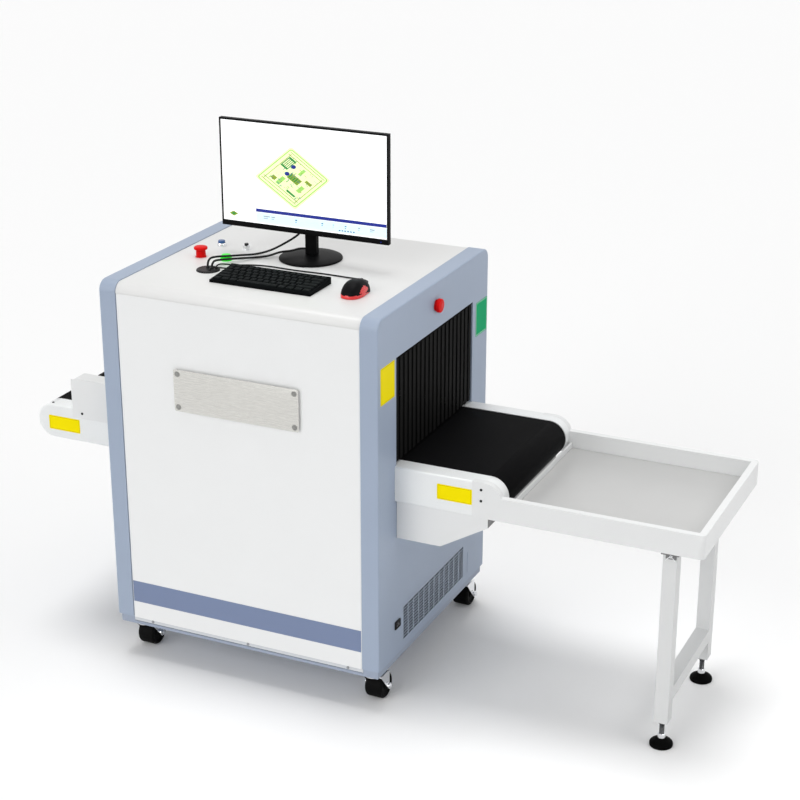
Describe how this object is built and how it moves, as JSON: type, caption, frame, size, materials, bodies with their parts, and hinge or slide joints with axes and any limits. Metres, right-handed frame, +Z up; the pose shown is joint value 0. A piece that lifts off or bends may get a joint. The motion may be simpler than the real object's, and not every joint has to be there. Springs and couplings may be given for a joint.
{
  "type": "baggage x-ray scanner",
  "caption": "Cabinet x-ray scanner for bags: belt through a curtained tunnel, outfeed tray on a leg stand, casters, stop buttons, and a monitor, keyboard and mouse on top.",
  "frame": {"origin": "on the floor, under the middle of the overall length and width", "axes": "+X along the belt towards the outfeed tray, -Y the operator's front, +Z up"},
  "size_m": [1.95, 0.739, 1.49],
  "materials": {
    "frame_grey": "satin powder coat",
    "cabinet_blue": "satin powder coat, pale blue-grey",
    "cabinet_white": "satin powder coat, white",
    "lip_grey": "satin powder coat, light grey",
    "liner_steel": "plain rolled steel",
    "belt_black": "fine matt conveyor belt",
    "curtain_rubber": "lead rubber strips, matt",
    "zinc": "zinc plated",
    "chrome": "bright plated",
    "brushed_plate": "brushed, blank",
    "stop_red": "moulded, gloss",
    "button_green": "moulded, gloss",
    "button_blue": "moulded, gloss",
    "switch_black": "moulded",
    "monitor_black": "moulded, fine texture",
    "screen_glass": "lit display face",
    "keyboard_black": "moulded",
    "mouse_black": "moulded with red accents",
    "cable_black": "cable sheath",
    "foot_black": "moulded foot",
    "caster_tyre": "moulded tread"
  },
  "bodies": {
    "root": {"base_frame": "frame_grey", "belt": "belt_black", "belt_rollers": "zinc", "cable_grommet": "switch_black", "caster_plates": "chrome", "control_rings": "chrome", "curtain_bars": "zinc", "curtain_side_strips": "curtain_rubber", "drive_housing": "cabinet_white", "end_frame_left": "cabinet_blue", "end_frame_right": "cabinet_blue", "foot_pads": "foot_black", "foot_stems": "zinc", "front_panel": "cabinet_white", "infeed_guards": "cabinet_white", "infeed_rails": "cabinet_white", "keyboard": "keyboard_black", "keyboard_cable": "cable_black", "leg_brackets": "zinc", "monitor_base": "monitor_black", "monitor_neck": "monitor_black", "mouse": "mouse_black", "mouse_cable": "cable_black", "name_plate": "brushed_plate", "outfeed_rails": "cabinet_white", "outfeed_tray": "cabinet_white", "panel_lips": "lip_grey", "plate_studs": "chrome", "power_cable": "cable_black", "power_inlet": "switch_black", "rear_panel": "cabinet_white", "slider_bed": "liner_steel", "stop_bodies": "stop_red", "top_cover": "cabinet_white", "tray_legs": "cabinet_white", "tunnel_rails": "cabinet_white", "tunnel_roof": "liner_steel", "tunnel_walls": "liner_steel", "vent_plates": "cabinet_blue", "video_cable": "cable_black"},
    "monitor_tilted": {"monitor_housing": "monitor_black", "monitor_screen": "screen_glass", "video_plug": "monitor_black"},
    "curtain_right": {"curtain_right": "curtain_rubber"},
    "curtain_left": {"curtain_left": "curtain_rubber"},
    "stop_head_top": {"stop_head_top": "stop_red"},
    "stop_head_right": {"stop_head_right": "stop_red"},
    "stop_head_left": {"stop_head_left": "stop_red"},
    "green_button": {"green_button": "button_green"},
    "blue_button": {"blue_button": "button_blue"},
    "key_switch": {"key_switch": "switch_black"},
    "caster_fork_left_front": {"caster_fork_left_front": "chrome"},
    "caster_wheel_left_front": {"caster_wheel_left_front": "caster_tyre"},
    "caster_fork_left_rear": {"caster_fork_left_rear": "chrome"},
    "caster_wheel_left_rear": {"caster_wheel_left_rear": "caster_tyre"},
    "caster_fork_right_front": {"caster_fork_right_front": "chrome"},
    "caster_wheel_right_front": {"caster_wheel_right_front": "caster_tyre"},
    "caster_fork_right_rear": {"caster_fork_right_rear": "chrome"},
    "caster_wheel_right_rear": {"caster_wheel_right_rear": "caster_tyre"}
  },
  "joints": [
    {"name": "monitor_tilt", "type": "hinge", "parent": "root", "child": "monitor_tilted", "pos_m": [-0.259, 0.066, 1.3], "axis": [-1, 0, 0], "range_deg": [-5, 20], "deforming": ["video_cable"]},
    {"name": "curtain_right_swing", "type": "hinge", "parent": "root", "child": "curtain_right", "pos_m": [0.1395, 0, 0.9795], "axis": [0, -1, 0], "range_deg": [-70, 70]},
    {"name": "curtain_left_swing", "type": "hinge", "parent": "root", "child": "curtain_left", "pos_m": [-0.6695, 0, 0.9795], "axis": [0, 1, 0], "range_deg": [-70, 70]},
    {"name": "stop_top_press", "type": "slide", "parent": "root", "child": "stop_head_top", "axis": [0, 0, -1], "range_m": [0, 0.004]},
    {"name": "stop_right_press", "type": "slide", "parent": "root", "child": "stop_head_right", "axis": [-1, 0, 0], "range_m": [0, 0.004]},
    {"name": "stop_left_press", "type": "slide", "parent": "root", "child": "stop_head_left", "axis": [1, 0, 0], "range_m": [0, 0.004]},
    {"name": "green_button_press", "type": "slide", "parent": "root", "child": "green_button", "axis": [0, 0, -1], "range_m": [0, 0.003], "stiffness_N_per_m": 500, "springref_m": -0.002},
    {"name": "blue_button_press", "type": "slide", "parent": "root", "child": "blue_button", "axis": [0, 0, -1], "range_m": [0, 0.003], "stiffness_N_per_m": 500, "springref_m": -0.002},
    {"name": "key_turn", "type": "hinge", "parent": "root", "child": "key_switch", "pos_m": [-0.463, 0.062, 1.126], "axis": [0, 0, -1], "range_deg": [0, 90]},
    {"name": "caster_swivel_left_front", "type": "hinge", "parent": "root", "child": "caster_fork_left_front", "pos_m": [-0.627, -0.3, 0.091], "axis": [0, 0, 1], "continuous": true},
    {"name": "caster_roll_left_front", "type": "hinge", "parent": "caster_fork_left_front", "child": "caster_wheel_left_front", "pos_m": [-0.627, -0.268, 0.0375], "axis": [1, 0, 0], "continuous": true},
    {"name": "caster_swivel_left_rear", "type": "hinge", "parent": "root", "child": "caster_fork_left_rear", "pos_m": [-0.627, 0.3, 0.091], "axis": [0, 0, 1], "continuous": true},
    {"name": "caster_roll_left_rear", "type": "hinge", "parent": "caster_fork_left_rear", "child": "caster_wheel_left_rear", "pos_m": [-0.627, 0.332, 0.0375], "axis": [1, 0, 0], "continuous": true},
    {"name": "caster_swivel_right_front", "type": "hinge", "parent": "root", "child": "caster_fork_right_front", "pos_m": [0.097, -0.3, 0.091], "axis": [0, 0, 1], "continuous": true},
    {"name": "caster_roll_right_front", "type": "hinge", "parent": "caster_fork_right_front", "child": "caster_wheel_right_front", "pos_m": [0.097, -0.268, 0.0375], "axis": [1, 0, 0], "continuous": true},
    {"name": "caster_swivel_right_rear", "type": "hinge", "parent": "root", "child": "caster_fork_right_rear", "pos_m": [0.097, 0.3, 0.091], "axis": [0, 0, 1], "continuous": true},
    {"name": "caster_roll_right_rear", "type": "hinge", "parent": "caster_fork_right_rear", "child": "caster_wheel_right_rear", "pos_m": [0.097, 0.332, 0.0375], "axis": [1, 0, 0], "continuous": true}
  ]
}
